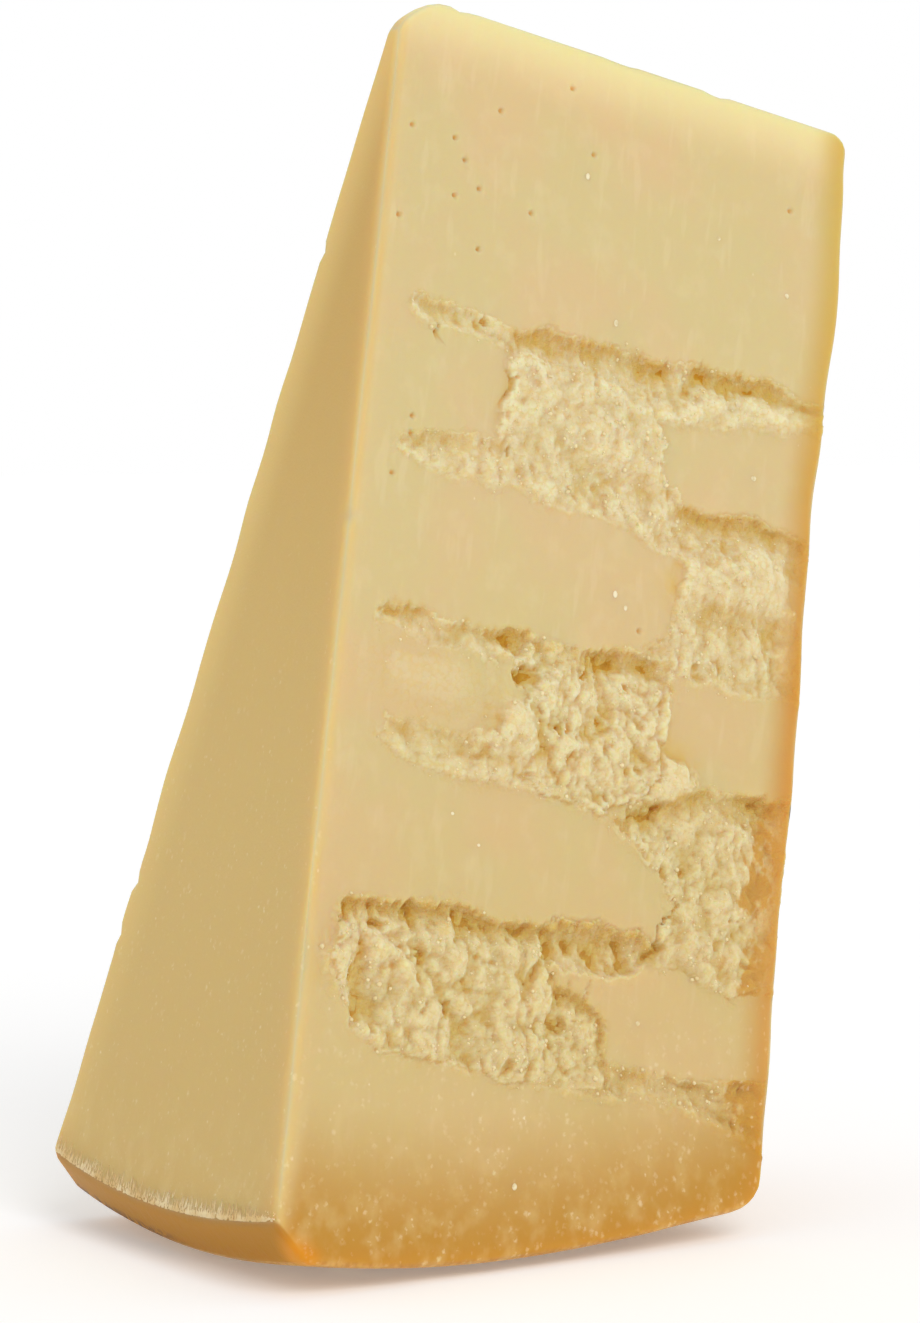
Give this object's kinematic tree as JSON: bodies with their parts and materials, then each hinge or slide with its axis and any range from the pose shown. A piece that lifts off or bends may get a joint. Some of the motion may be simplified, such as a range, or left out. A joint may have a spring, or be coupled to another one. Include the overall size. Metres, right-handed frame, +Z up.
{
  "type": "parmesan wedge",
  "caption": "Tall wedge of hard aged cheese standing on its curved rind, with smooth knife-cut plates broken by craggy bands on the split faces.",
  "frame": {"origin": "on the surface the wedge stands on, under the middle of its box", "axes": "+Z up; +X from the smooth mid-height face towards the flat rind face, level; the split faces look along -Y and +Y"},
  "size_m": [0.147, 0.0832, 0.2198],
  "materials": {
    "cheese": "pale straw hard cheese, smooth where cut and granular where broken, darkening to an amber rind"
  },
  "bodies": {
    "root": {"cheese_wedge": "cheese"}
  },
  "joints": []
}
